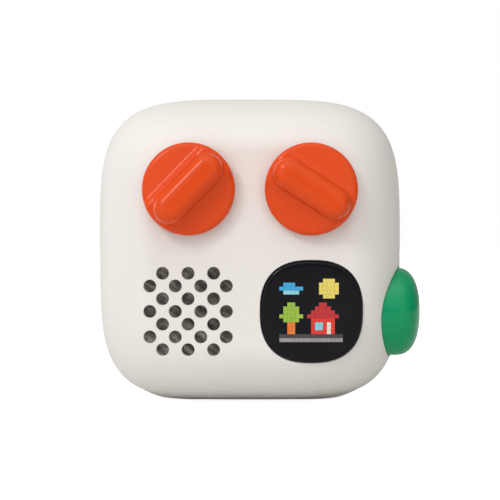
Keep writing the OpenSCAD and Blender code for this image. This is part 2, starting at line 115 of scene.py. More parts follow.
def skin(rings, start=True, end=True, base=0):
    """Vertices and faces of a tube through closed rings, with flat ends."""
    n = len(rings[0])
    faces = []
    for j in range(len(rings) - 1):
        a, b = base + j * n, base + (j + 1) * n
        faces += [(a + i, a + (i + 1) % n, b + (i + 1) % n, b + i) for i in range(n)]
    if start:
        faces.append(tuple(base + i for i in range(n - 1, -1, -1)))
    if end:
        last = base + (len(rings) - 1) * n
        faces.append(tuple(last + i for i in range(n)))
    return np.concatenate(rings), faces


def join(parts):
    """One vertex and face list of several."""
    verts, faces, base = [], [], 0
    for v, f in parts:
        verts.append(np.asarray(v, float))
        faces += [tuple(base + i for i in q) for q in f]
        base += len(v)
    return np.concatenate(verts), faces


def raw(name, verts, faces):
    """A mesh object in millimetres, with its faces turned outward."""
    me = bpy.data.meshes.new(name)
    me.from_pydata(np.asarray(verts, float).tolist(), [], faces)
    me.update()
    bm = bmesh.new()
    bm.from_mesh(me)
    bmesh.ops.recalc_face_normals(bm, faces=bm.faces)
    bm.to_mesh(me)
    bm.free()
    ob = bpy.data.objects.new(name, me)
    bpy.context.scene.collection.objects.link(ob)
    return ob


def cut(ob, verts, faces, operation="DIFFERENCE", solver="MANIFOLD"):
    """Boolean of a mesh object with closed solids, applied."""
    tool = raw("tool", verts, faces)
    m = ob.modifiers.new("cut", "BOOLEAN")
    m.object, m.operation, m.solver = tool, operation, solver
    dg = bpy.context.evaluated_depsgraph_get()
    me = bpy.data.meshes.new_from_object(ob.evaluated_get(dg))
    ob.modifiers.remove(m)
    old, ob.data = ob.data, me
    me.name = ob.name
    bpy.data.meshes.remove(old)
    shape = tool.data
    bpy.data.objects.remove(tool)
    bpy.data.meshes.remove(shape)
    return ob


def take(ob):
    """The vertices and faces of a mesh object, which is removed."""
    co = np.zeros(len(ob.data.vertices) * 3)
    ob.data.vertices.foreach_get("co", co)
    faces = [tuple(q.vertices) for q in ob.data.polygons]
    me = ob.data
    bpy.data.objects.remove(ob)
    bpy.data.meshes.remove(me)
    return co.reshape(-1, 3), faces


def tidy(ob, merge=2e-4):
    bm = bmesh.new()
    bm.from_mesh(ob.data)
    bmesh.ops.remove_doubles(bm, verts=bm.verts, dist=merge)
    bmesh.ops.dissolve_degenerate(bm, dist=merge, edges=bm.edges)
    bm.to_mesh(ob.data)
    bm.free()


def shade(ob, angle=32):
    me = ob.data
    me.polygons.foreach_set("use_smooth", np.ones(len(me.polygons), bool))
    me.set_sharp_from_angle(angle=math.radians(angle))
    me.update()


def finish_piece(ob, material, body, replaced=(), fit=1.0):
    """Millimetres to metres, material, body and CAD nodes that the piece stands for; fit
    scales it about the case's axis."""
    if fit != 1.0:
        mid = Matrix.Translation((0, 0, CZ))
        ob.data.transform(mid @ Matrix.Diagonal((fit, 1, fit, 1)) @ mid.inverted())
    ob.data.transform(Matrix.Scale(0.001, 4))
    ob.data.update()
    ob.data.materials.clear()
    ob.data.materials.append(material)
    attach(ob, body)
    if replaced:
        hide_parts(*replaced)
    return ob


def outer_normals(ob):
    """Sets the case's exact surface normals on the corners that lie on its outside, so
    that the openings cut in it leave no mark in the shading round them."""
    me = ob.data
    co = np.zeros(len(me.vertices) * 3)
    me.vertices.foreach_get("co", co)
    co = co.reshape(-1, 3)
    x, y, z = co[:, 0], co[:, 1], co[:, 2] - CZ
    s = np.maximum(norm_at(x, z), 1e-9)
    sx = np.sign(x) * (np.abs(x) / s) ** (N - 1)
    sz = np.sign(z) * (np.abs(z) / s) ** (N - 1)
    u, v = np.clip((YS - y) / 18, 0, 1.2), np.clip((s - 22) / 13, 0, 1.2)
    fy, fs = -M / 18 * u ** (M - 1), M / 13 * v ** (M - 1)
    fd = (u**M + v**M - 1) / np.maximum(np.hypot(fy, fs), 1e-6)
    t, w = np.clip(y - YT, 0, 12), np.clip(s - 25.5, 0, 12)
    rr = np.maximum(np.hypot(t, w), 1e-9)
    front, rear = y < YS, y > YT
    gy = np.where(front, fy, np.where(rear, t / rr, 0.0))
    gs = np.where(front, fs, np.where(rear, w / rr, 1.0))
    dist = np.where(front, fd, np.where(rear, rr - 9.5, s - 35))
    nv = np.stack([gs * sx, gy, gs * sz], 1)
    nv /= np.maximum(np.linalg.norm(nv, axis=1, keepdims=True), 1e-9)
    on = np.abs(dist) < 0.02
    corner = np.zeros(len(me.loops) * 3)
    me.corner_normals.foreach_get("vector", corner)
    corner = corner.reshape(-1, 3)
    vi = np.zeros(len(me.loops), int)
    me.loops.foreach_get("vertex_index", vi)
    fn = np.zeros(len(me.polygons) * 3)
    me.polygons.foreach_get("normal", fn)
    fn = fn.reshape(-1, 3)
    total = np.zeros(len(me.polygons), int)
    me.polygons.foreach_get("loop_total", total)
    face_of = np.repeat(np.arange(len(me.polygons)), total)
    close = (fn[face_of] * nv[vi]).sum(1) > 0.62
    take = on[vi] & close
    corner[take] = nv[vi][take]
    me.normals_split_custom_set(corner.tolist())


# ---------------------------------------------------------------- outlines and cutters
def circle(cx, cz, r, k):
    a = np.linspace(0, 2 * np.pi, k, endpoint=False)
    return lambda off: np.stack([cx + (r + off) * np.cos(a), cz + (r + off) * np.sin(a)], 1)


def squircle(cx, cz, h, n, k):
    a = np.linspace(0, 2 * np.pi, k, endpoint=False) + np.pi / k

    def at(off):
        r = (np.abs(np.cos(a)) ** n + np.abs(np.sin(a)) ** n) ** (-1 / n) * (h + off)
        return np.stack([cx + r * np.cos(a), cz + r * np.sin(a)], 1)

    return at


def rounded(cx, cz, w, h, r, k):
    """A rectangle of width w and height h with corner radius r; k points a corner."""

    def at(off):
        pts = []
        for sx, sz, a0 in ((1, 1, 0), (-1, 1, 90), (-1, -1, 180), (1, -1, 270)):
            for a in np.radians(np.linspace(a0, a0 + 90, k)):
                pts.append(
                    [
                        cx + sx * (w / 2 - r) + (r + off) * math.cos(a),
                        cz + sz * (h / 2 - r) + (r + off) * math.sin(a),
                    ]
                )
        return dense(np.array(pts), 0.6)

    return at


def dense(pts, step):
    """Adds points on long sides of a closed outline."""
    out = []
    for i, p in enumerate(pts):
        q = pts[(i + 1) % len(pts)]
        out.append(p)
        n = int(np.linalg.norm(q - p) / step)
        out += [p + (q - p) * j / (n + 1) for j in range(1, n + 1)]
    return np.array(out)


def opening(outline, surface, place, deep, far, rim, sign):
    """A cutter for an opening with a rounded rim that follows the surface it is cut in.
    surface(p) is where the surface is over outline point p, place(p, c) makes a point,
    deep and far are where the cutter starts and ends, and sign is +1 or -1, the way out."""
    p0 = outline(0.0)
    rings = [place(p0, np.full(len(p0), float(deep)))]
    phi = np.radians(np.linspace(0, 68, 6))
    offs = list(rim * (1 - np.cos(phi))) + [rim * (1 - math.cos(phi[-1])) + 0.3 * rim]
    deps = list(rim * (1 - np.sin(phi)))
    deps.append(deps[-1] - 0.3 * rim * math.cos(phi[-1]) / math.sin(phi[-1]))
    for off, dep in zip(offs, deps):
        p = outline(off)
        rings.append(place(p, surface(p) - sign * dep))
    rings.append(place(p, np.full(len(p), float(far))))
    return skin(rings)


def along_y(p, c):
    return np.stack([p[:, 0], c, p[:, 1]], 1)


def along_x(p, c):
    return np.stack([c, p[:, 0], p[:, 1]], 1)


def along_z(p, c):
    return np.stack([p[:, 0], p[:, 1], c], 1)


def on_front(p):
    return front_y(p[:, 0], p[:, 1])


def on_rear(p):
    return rear_y(p[:, 0], p[:, 1])


def on_side(p):
    return side_x(p[:, 0], p[:, 1])


def on_top(p):
    return top_z(p[:, 0], p[:, 1])


def prism_y(outline, y0, y1, off=0.0):
    p = outline(off)
    return skin([along_y(p, np.full(len(p), float(y))) for y in (y0, y1)])


def lathe_y(cx, cz, profile, k):
    """Solid turned about an axis along Y; profile is [r, y] from end to end."""
    a = np.linspace(0, 2 * np.pi, k, endpoint=False)
    return skin(
        [np.stack([cx + r * np.cos(a), np.full(k, float(y)), cz + r * np.sin(a)], 1) for r, y in profile]
    )


# ---------------------------------------------------------------- case shells
def front_profile(inset, steps):
    f = np.linspace(np.pi / 2, 0, steps + 1)
    y = YS - (18 - inset) * np.sin(f) ** (2 / M)
    h = 35 - inset - (13 - inset * 0.45) * (1 - np.cos(f) ** (2 / M))
    return list(zip(y, h))


def rear_profile(inset, steps):
    f = np.linspace(0, np.pi / 2, steps + 1)
    return list(zip(YT + (9.5 - inset) * np.sin(f), 35 - inset - (9.5 - inset * 0.45) * (1 - np.cos(f))))


def edge_round(y, h, r, way, inward=True):
    """Quarter round where the outside turns into the seam; way is +1 towards +Y."""
    t = np.radians(np.linspace(0, 90, 5))
    return [(y - way * r * (1 - math.sin(a)), h - r * (1 - math.cos(a))) for a in t]


GAP = 0.06
hs = float(half_at(SEAM))
outside = front_profile(0, 48)
outside += [(y, 35.0) for y in np.linspace(YS, YT, 9)[1:]]
outside += [(y, float(half_at(y))) for y in np.linspace(YT, SEAM - GAP - 0.22, 9)[1:]]
outside += edge_round(SEAM - GAP, float(half_at(SEAM - GAP)), 0.18, 1)
inside = [(SEAM - GAP, 32.2)] + [(y, 32.8 - 0.6 * max(0, (y - 6) / 6.5)) for y in (10, 8, 6, 2, YS)]
inside += front_profile(2.2, 20)[::-1][1:]
shell = raw("front_shell_finish", *skin([ring_of(y, h) for y, h in outside + inside]))

# ledge behind the lens, posts for the boards and the speaker, screw towers, and a thick
# place over the foot pad
cut(shell, *prism_y(squircle(DX, DZ, 12.5, 2.5, 128), -17.0, -15.8), operation="UNION")
posts = [(DX + a * 9.4, DZ + b * 9.4, 1.7, 0.8, -12.8) for a in (-1, 1) for b in (-1, 1)]
posts += [(x, z, 2.0, 0.8, -6.0) for x, z in ((0, KZ + 5), (0, KZ - 5), (-23, KZ), (23, KZ))]
posts += [
    (GX + 14.5 * math.cos(a), GZ + 14.5 * math.sin(a), 1.8, 0.8, -14.4) for a in np.radians((95, 350))
]
for x, z, r, bore, y in posts:
    y0 = float(front_y(x, z)) + 1.2
    cut(shell, *lathe_y(x, z, [(r, y0), (r, y)], 32), operation="UNION")
inset = front_profile(1.0, 12) + [(SEAM - 0.4, 34.0 - (35 - hs))]
block = raw("block", *prism_y(rounded(0, 1.8, 50.8, 5.6, 0.8, 5), -5.2, 10.2))
cut(block, *skin([ring_of(y, h, 256) for y, h in inset]), operation="INTERSECT")
cut(shell, *take(block), operation="UNION")
for s in (-1, 1):
    tower = raw("tower", *lathe_y(s * 25, CZ - 25, [(3.0, 4.0), (3.0, SEAM - 0.3)], 48))
    web = np.array([[-0.8, -5.2], [0.8, -5.2], [0.8, -2.0], [-0.8, -2.0]])
    c, d = math.cos(math.radians(45 * s)), math.sin(math.radians(45 * s))
    web = np.stack([s * 25 + web[:, 0] * c + web[:, 1] * d, CZ - 25 - web[:, 0] * d + web[:, 1] * c], 1)
    cut(tower, *skin([along_y(web, np.full(4, y)) for y in (4.2, SEAM - 0.4)]), operation="UNION")
    cut(tower, *skin([ring_of(y, h, 256) for y, h in inset]), operation="INTERSECT")
    cut(shell, *take(tower), operation="UNION")

holes = [
    (GX + c * 2.865, GZ + r * 2.86)
    for r in range(-3, 4)
    for c in ((-2, 0, 2) if r % 2 else (-3, -1, 1, 3))
]
through = [opening(circle(x, z, 1.44, 64), on_front, along_y, -16.0, -21, 0.13, -1) for x, z in holes]
through += [lathe_y(s * KX, KZ, [(3.7, -21), (3.7, -16)], 96) for s in (-1, 1)]
through += [lathe_y(x, z, [(bore, max(-16.0, y - 4.5)), (bore, y + 1)], 24) for x, z, r, bore, y in posts]
through += [lathe_y(s * 25, CZ - 25, [(0.9, 5), (0.9, SEAM + 1)], 32) for s in (-1, 1)]
through.append(prism_y(squircle(DX, DZ, 10.2, 2.5, 192), -21, -15))
through.append(opening(circle(BY, BZ, BR + 0.15, 192), on_side, along_x, 26.4, 45, 0.3, 1))
through.append(opening(rounded(0, 8.7, 56, 2.2, 0.55, 7), on_top, along_z, CZ + 14, 75, 0.35, 1))
cut(shell, *join(through))
seats = [opening(squircle(DX, DZ, 11.6, 2.5, 256), on_front, along_y, YI, -21, 0.16, -1)]


def pad_outline(grow, top):
    t = np.linspace(0, 1, 25)
    flat, wide = 13.0, 24.4 + grow
    side = [(flat + (wide - flat) * a, -grow + 2 * (1 - math.sqrt(max(0, 1 - a * a)))) for a in t]
    return np.array([(-x, z) for x, z in side[::-1]] + side + [(wide, top), (-wide, top)])


box_pad = dense(np.array([(-24.46, -2), (24.46, -2), (24.46, 2.4), (-24.46, 2.4)]), 4)
seats.append(skin([along_y(box_pad, np.full(len(box_pad), y)) for y in (-4.04, 9.04)]))


def slot_end_solid(x0, x1, y0, y1, extra, depth, r):
    """Block between two offsets of the case's top, with rounded plan corners."""
    out = rounded((x0 + x1) / 2, (y0 + y1) / 2, x1 - x0, y1 - y0, r, 8)
    p = out(0.0)
    return skin([along_z(p, top_z(p[:, 0], p[:, 1], -depth)), along_z(p, top_z(p[:, 0], p[:, 1], extra))])


seats.append(slot_end_solid(25.95, 31.85, 5.55, 10.95, 3.0, 2.03, 0.65))
cut(shell, *join(seats))
tidy(shell)
shade(shell)
outer_normals(shell)

# rear shell: outside, seam edge, tongue that centres it, inside
outside = [(SEAM + GAP, 30.8), (SEAM - 1.4, 30.8), (SEAM - 1.4, 32.0), (SEAM + GAP, 32.0)]
outside += [(y, h) for y, h in edge_round(SEAM + GAP, float(half_at(SEAM + GAP)), 0.18, -1)[::-1]]
outside += [(y, float(half_at(y))) for y in np.linspace(SEAM + GAP + 0.22, 16.2, 10)]
f0 = math.asin((16.2 - YT) / 9.5)
outside += [
    (YT + 9.5 * math.sin(f), 35 - 9.5 * (1 - math.cos(f))) for f in np.linspace(f0, np.pi / 2, 26)[1:]
]
inside = [(y, h) for y, h in rear_profile(2.2, 14)[::-1] if y > SEAM + 0.9] + [(SEAM + 0.4, 30.8)]
# the outside and the inside each close with a flat face at the back
verts, faces = skin([ring_of(y, h) for y, h in outside + inside], start=False, end=False)
count, k = 512, len(outside) - 1
faces = [f for f in faces if f[0] // count != k]
faces.append(tuple(k * count + i for i in range(count)))
faces.append(tuple((k + 1) * count + i for i in range(count - 1, -1, -1)))
last = (len(outside) + len(inside) - 1) * count
faces += [(last + i, last + (i + 1) % count, (i + 1) % count, i) for i in range(count)]
rear = raw("rear_shell_finish", verts, faces)

tower = [lathe_y(s * 25, CZ - 25, [(3.4, SEAM + 0.2), (3.4, 17.4)], 64) for s in (-1, 1)]
board_posts = [(-18.5, CZ + 25), (18.5, CZ + 25), (-18.5, CZ - 12), (18.5, CZ - 12)]
tower += [lathe_y(x, z, [(2, 13.1), (2, 17.4)], 48) for x, z in board_posts]
tower = raw("towers", *join(tower))
inner = [(SEAM, float(half_at(SEAM)) - 1.0)]
inner += [(y, h) for y, h in rear_profile(0.8, 20) if y > SEAM + 0.5]
cut(tower, *skin([ring_of(y, h, 256) for y, h in inner]), operation="INTERSECT")
cut(rear, *take(tower), operation="UNION")
back = [opening(circle(s * 25, CZ - 25, 2.4, 64), on_rear, along_y, 14.6, 22, 0.25, 1) for s in (-1, 1)]
back.append(opening(circle(JX, PZ, 3.05, 96), on_rear, along_y, 12, 22, 0.3, 1))
back.append(opening(rounded(UX, PZ, 9.6, 3.8, 1.89, 16), on_rear, along_y, 12, 22, 0.3, 1))
cut(rear, *join(back))
bores = [lathe_y(s * 25, CZ - 25, [(1.25, 11), (1.25, 16)], 48) for s in (-1, 1)]
bores += [lathe_y(x, z, [(0.8, 12), (0.8, 16.6)], 32) for x, z in board_posts]
cut(rear, *join(bores))
tidy(rear)
shade(rear)
outer_normals(rear)


# ---------------------------------------------------------------- foot pad, slot's end piece
def pad_piece():
    rings = []
    for y, way in ((-4.0, 1), (9.0, -1)):
        part = []
        for a in np.radians(np.linspace(0, 90, 7)):
            off = 0.3 * (1 - math.sin(a))
            part.append((y + way * 0.3 * (1 - math.cos(a)), off))
        rings += part if way > 0 else part[::-1]
        if way > 0:
            rings += [(float(t), 0.0) for t in np.linspace(-3.6, 1.0, 12)]
    base = pad_outline(0.0, 2.4)
    under = base[:-2]
    d = np.gradient(under, axis=0)
    nrm = np.stack([d[:, 1], -d[:, 0]], 1) / np.linalg.norm(d, axis=1)[:, None]
    # its two ends run out into the case
    fade = np.clip((np.abs(under[:, 0]) - 19.5) / 5.0, 0, 1)
    under = under + np.stack([0 * fade, 0.42 * fade * fade * (3 - 2 * fade)], 1)
    loops = []
    for y, off in rings:
        p = base.copy()
        p[:-2] = under - nrm * off
        p[:-2, 1] = np.minimum(p[:-2, 1], 2.35)
        p[-2:, 0] -= np.sign(p[-2:, 0]) * off
        # the front of the pad rises a little with the case's underside
        rise = 0.092 * max(0.0, 1.0 - y)
        p[:-2, 1] = np.minimum(p[:-2, 1] + rise, 2.36)
        loops.append(np.stack([p[:, 0], np.full(len(p), y), p[:, 1]], 1))
    return skin(loops)


pad = raw("base_pad_finish", *pad_piece())
tidy(pad)
shade(pad, 40)


def lip_piece():
    out = rounded(28.9, 8.25, 5.8, 5.3, 0.6, 10)
    rings = [(0.0, -2.0), (0.0, 0.0)]
    rings += [(-0.28 * (1 - math.cos(a)), 0.28 * math.sin(a)) for a in np.radians((20, 45, 70, 90))]
    loops = []
    for off, extra in rings:
        p = out(off)
        loops.append(along_z(p, top_z(p[:, 0], p[:, 1], extra)))
    # the upper face follows the case, so it is closed with rings that shrink to the middle
    mid = np.array([28.9, 8.25])
    for k in (0.75, 0.5, 0.25):
        p = mid + (out(-0.28) - mid) * k
        loops.append(along_z(p, top_z(p[:, 0], p[:, 1], 0.28)))
    return skin(loops)


lip = raw("card_slot_lip_finish", *lip_piece())
cut(lip, *opening(rounded(0, 8.7, 56, 2.2, 0.55, 7), lambda p: top_z(p[:, 0], p[:, 1], 0.28),
                  along_z, CZ + 14, 75, 0.25, 1))
tidy(lip)
shade(lip, 35)


# ---------------------------------------------------------------- knobs
def soft_plus(x, tau=0.13):
    return tau * np.logaddexp(0, x / tau)


def knob_base(u, v):
    """Height of the disc's face: a low ridge along the grip, sloping down to the two
    D-shaped flats, and a rounded rim."""
    r = np.hypot(u, v)
    ridge = 0.667 * (soft_plus(5.15 - np.abs(v)) - soft_plus(3.8 - np.abs(v)))
    e = np.clip((r - 9.3) / 1.1, 0, 1)
    return 3 + ridge - 0.13 * soft_plus(np.abs(v) - 5.15) - 1.1 * (1 - np.sqrt(1 - e * e))


def knob_piece(x, turn):
    k = 96
    seg, ang = [], []
    for s, a0 in ((1, -90), (-1, 90)):
        for a in np.linspace(a0, a0 + 180, k, endpoint=False):
            seg.append(6.0 * s)
            ang.append(math.radians(a))
        for j in range(k):
            seg.append(s * 6.0 * (1 - 2 * j / k))
            ang.append(math.radians(a0 + 180))
    seg, ang = np.array(seg), np.array(ang)
    dirs = np.stack([np.cos(ang), np.sin(ang)], 1)

    def pill(rho):
        return np.stack([seg, np.zeros_like(seg)], 1) + dirs * rho

    rings = []
    wb, top, foot = 3.85, 7.3, 0.26
    for t in np.radians([3, 6, 10, 15, 20, 25, 30, 35, 40, 45, 50, 55, 60, 65, 70, 74, 78, 81]):
        p = pill(3.7 * math.sin(t) ** (2 / 3.3))
        w = wb + (top - wb) * math.cos(t)
        rings.append((p, np.full(len(p), w)))
    for a in np.radians((0, 15, 30, 45, 60, 75, 90)):
        p = pill(3.7 + foot * (1 - math.cos(a)))
        rings.append((p, knob_base(p[:, 0], p[:, 1]) + foot * (1 - math.sin(a))))
    q = pill(3.7 + foot)
    r0 = np.linalg.norm(q, axis=1)
    th = q / r0[:, None]
    sn = np.maximum(np.abs(th[:, 1]), 1e-6)
    k3 = np.maximum(9.3, r0 + 0.06)
    k1 = np.clip(4.75 / sn, r0 + 0.02, k3 - 0.04)
    k2 = np.clip(5.55 / sn, k1 + 0.02, k3 - 0.02)
    spans = [(r0, k1, np.linspace(0, 1, 6)[1:]), (k1, k2, np.linspace(0, 1, 10)[1:]),
             (k2, k3, np.linspace(0, 1, 12)[1:]),
             (k3, np.full_like(k3, 10.4), np.sin(np.radians(np.linspace(0, 90, 15)[1:])))]
    for a, b, ts in spans:
        for t in ts:
            p = th * (a + (b - a) * t)[:, None]
            rings.append((p, knob_base(p[:, 0], p[:, 1])))
    edge = th * 10.4
    low = knob_base(edge[:, 0], edge[:, 1])
    rings.append((edge, low * 0.5 + 0.2))
    rings.append((edge, np.full(len(edge), 0.35)))
    for off, w in ((0.1, 0.1), (0.35, 0.0)):
        rings.append((th * (10.4 - off), np.full(len(edge), w)))
    rings.append((th * 3.3, np.zeros(len(edge))))
    rings.append((th * 3.3, np.full(len(edge), -2.5)))
    rings.append((th * 3.1, np.full(len(edge), -2.7)))
    c, s = math.cos(math.radians(turn)), math.sin(math.radians(turn))
    loops = []
    for p, w in rings:
        loops.append(np.stack([x + p[:, 0] * c - p[:, 1] * s, DISC_Y - w, KZ + p[:, 0] * s + p[:, 1] * c], 1))
    return skin(loops)


def knob(name, x, turn):
    ob = raw(name, *knob_piece(x, turn))
    a = np.linspace(0, 2 * np.pi, 96, endpoint=False)
    bore = np.stack([np.minimum(3.02 * np.cos(a), 1.92), 3.02 * np.sin(a)], 1)
    cut(ob, *skin([np.stack([x + bore[:, 0], np.full(96, y), KZ + bore[:, 1]], 1) for y in (-24.5, -16.5)]))
    tidy(ob, 1e-4)
    shade(ob, 40)
    return ob


left_knob = knob("left_knob_finish", -KX, 46)
right_knob = knob("right_knob_finish", KX, -33)


# ---------------------------------------------------------------- button, lens, pixels
def lathe_x(profile, k):
    """Solid turned about the button's axis; profile is [r, x], with both ends on the axis."""
    a = np.linspace(0, 2 * np.pi, k, endpoint=False)
    verts = [[profile[0][1], BY, BZ], [profile[-1][1], BY, BZ]]
    for r, x in profile[1:-1]:
        verts += np.stack([np.full(k, float(x)), BY + r * np.cos(a), BZ + r * np.sin(a)], 1).tolist()
    faces = []
    rows = len(profile) - 2
    for i in range(k):
        j = (i + 1) % k
        faces.append((0, 2 + i, 2 + j))
        faces.append((1, 2 + (rows - 1) * k + j, 2 + (rows - 1) * k + i))
        for m in range(rows - 1):
            faces.append((2 + m * k + i, 2 + (m + 1) * k + i, 2 + (m + 1) * k + j, 2 + m * k + j))
    return verts, faces


e = 2 / 2.55
prof = [(0, 35.6), (2.5, 35.6), (2.5, 26), (3.8, 26), (3.8, 37.1)]
prof += [
    (8.6 * math.cos(f) ** e, 32.9 + 4.4 * math.sin(f) ** e) for f in np.radians(range(80, -1, -8))
]
prof += [(8.6, 27.8), (10.05, 27.8), (10.2, 27.95), (10.2, 31)]
prof += [
    (10.2 * math.cos(f) ** e, 33.5 + 5.8 * math.sin(f) ** e) for f in np.radians(np.linspace(0, 89.9, 72))
]
prof[-1] = (0, 39.3)
button = raw("power_button_finish", *lathe_x(prof, 224))
shade(button, 40)

rows = [(11.45, -17.1), (11.45, -17.8), (11.45, -18.5)]
for a in np.radians(np.linspace(8, 82, 9)):
    rows.append((10.55 + 0.9 * math.cos(a) ** 0.8, -18.5 - 0.6 * math.sin(a) ** 1.1))
rows += [(10.45, -19.098), (10.2, -19.1)]
lens = raw("display_lens_finish", *skin([along_y(squircle(DX, DZ, h, 2.5, 288)(0), np.full(288, y)) for h, y in rows]))
shade(lens, 35)

PICTURE = """
...........yyy..
.bbb......yyyyy.
bbbbbb....yyyyy.
.cccc.....yyyyy.
...........yyy..
................
..gg......rr....
.gggg....rrrr...
.gggg...rrrrrr..
gggggg.rrrrrrrr.
.gggg...RRRRRR..
..oo....RccRwR..
..oo....RccRwR..
..oo....RRRRwR..
dddddddddddddddd
ssssssssssssssss
""".split()
LIT = {
    "y": (230, 210, 100), "b": (60, 165, 215), "c": (140, 205, 215), "g": (150, 185, 60),
    "r": (190, 42, 44), "R": (222, 52, 40), "o": (230, 120, 50), "w": (225, 220, 205),
    "d": (66, 64, 66), "s": (150, 145, 145),
}
PITCH = 0.889


def pixel_mesh(letter):
    """Square tiles, one for each lit cell of that colour, a little proud of the lens."""
    parts = []
    for j, row in enumerate(PICTURE):
        for i, ch in enumerate(row):
            if ch != letter:
                continue
            cx = DX - 0.11 + (i - 7.5) * PITCH
            cz = DZ + 0.30 - (j - 7.5) * PITCH
            h = PITCH / 2 - 0.012
            loops = []
            for y, d in ((-19.06, 0.0), (-19.108, 0.0), (-19.118, 0.03)):
                q = h - d
                loops.append(np.array([[cx - q, y, cz - q], [cx + q, y, cz - q], [cx + q, y, cz + q], [cx - q, y, cz + q]]))
            parts.append(skin(loops))
    return join(parts)


# ---------------------------------------------------------------- speaker cloth
def cloth_piece():
    """A felted cloth disc: an uneven base with thin fibres lying across it."""
    rng = np.random.default_rng(7)
    step, r = 0.13, 12.25
    n = int(2 * r / step) + 3
    g = (np.arange(n) - (n - 1) / 2) * step
    gx, gz = np.meshgrid(g, g, indexing="ij")
    bump = np.zeros_like(gx)
    for lam, amp, num in ((2.4, 0.05, 10), (0.9, 0.035, 16), (0.45, 0.03, 20)):
        for _ in range(num):
            a, ph = rng.uniform(0, np.pi), rng.uniform(0, 2 * np.pi)
            f = 2 * np.pi / (lam * rng.uniform(0.75, 1.3))
            bump += amp / math.sqrt(num) * np.sin(f * (gx * math.cos(a) + gz * math.sin(a)) + ph)
    inside_disc = np.hypot(gx, gz) < r
    cell = inside_disc[:-1, :-1] & inside_disc[1:, :-1] & inside_disc[:-1, 1:] & inside_disc[1:, 1:]
    top = np.stack([GX + gx, -16.66 + bump, GZ + gz], -1).reshape(-1, 3)
    low = np.stack([GX + gx, np.full_like(gx, -16.42), GZ + gz], -1).reshape(-1, 3)
    idx = np.arange(n * n).reshape(n, n)
    faces = []
    for i, j in np.argwhere(cell):
        a, b, c, d = idx[i, j], idx[i + 1, j], idx[i + 1, j + 1], idx[i, j + 1]
        faces += [(a, b, c, d), (a + n * n, d + n * n, c + n * n, b + n * n)]
        for (di, dj), (p, q) in (((-1, 0), (a, d)), ((1, 0), (b, c)), ((0, -1), (a, b)), ((0, 1), (d, c))):
            ii, jj = i + di, j + dj
            if not (0 <= ii < n - 1 and 0 <= jj < n - 1) or not cell[ii, jj]:
                faces.append((p, q, q + n * n, p + n * n))
    used = sorted({v for f in faces for v in f})
    new = {v: k for k, v in enumerate(used)}
    both = np.concatenate([top, low])
    base = (both[used], [tuple(new[v] for v in f) for f in faces])
    parts = [base]
    for _ in range(1500):
        a = rng.normal(math.radians(38), 0.5) if rng.random() < 0.7 else rng.uniform(0, np.pi)
        length, rad = rng.uniform(0.9, 2.6), rng.uniform(0.018, 0.036)
        rr, th = 11.0 * math.sqrt(rng.random()), rng.uniform(0, 2 * np.pi)
        cx, cz = rr * math.cos(th), rr * math.sin(th)
        bend, lift = rng.normal(0, 0.35), rng.uniform(0.02, 0.16)
        loops = []
        for s in np.linspace(-0.5, 0.5, 7):
            w = a + bend * s * 2
            px, pz = cx + length * s * math.cos(w), cz + length * s * math.sin(w)
            py = -16.68 - lift * (1 - (2 * s) ** 2)
            t = rad * (1 - 0.5 * abs(2 * s))
            side = np.array([-math.sin(w), 0, math.cos(w)])
            up = np.array([0, -1, 0])
            c = np.array([GX + px, py, GZ + pz])
            loops.append(np.array([c + side * t, c + up * t, c - side * t, c - up * t]))
        parts.append(skin(loops))
    return join(parts)


cloth = raw("grille_cloth_finish", *cloth_piece())
shade(cloth, 60)


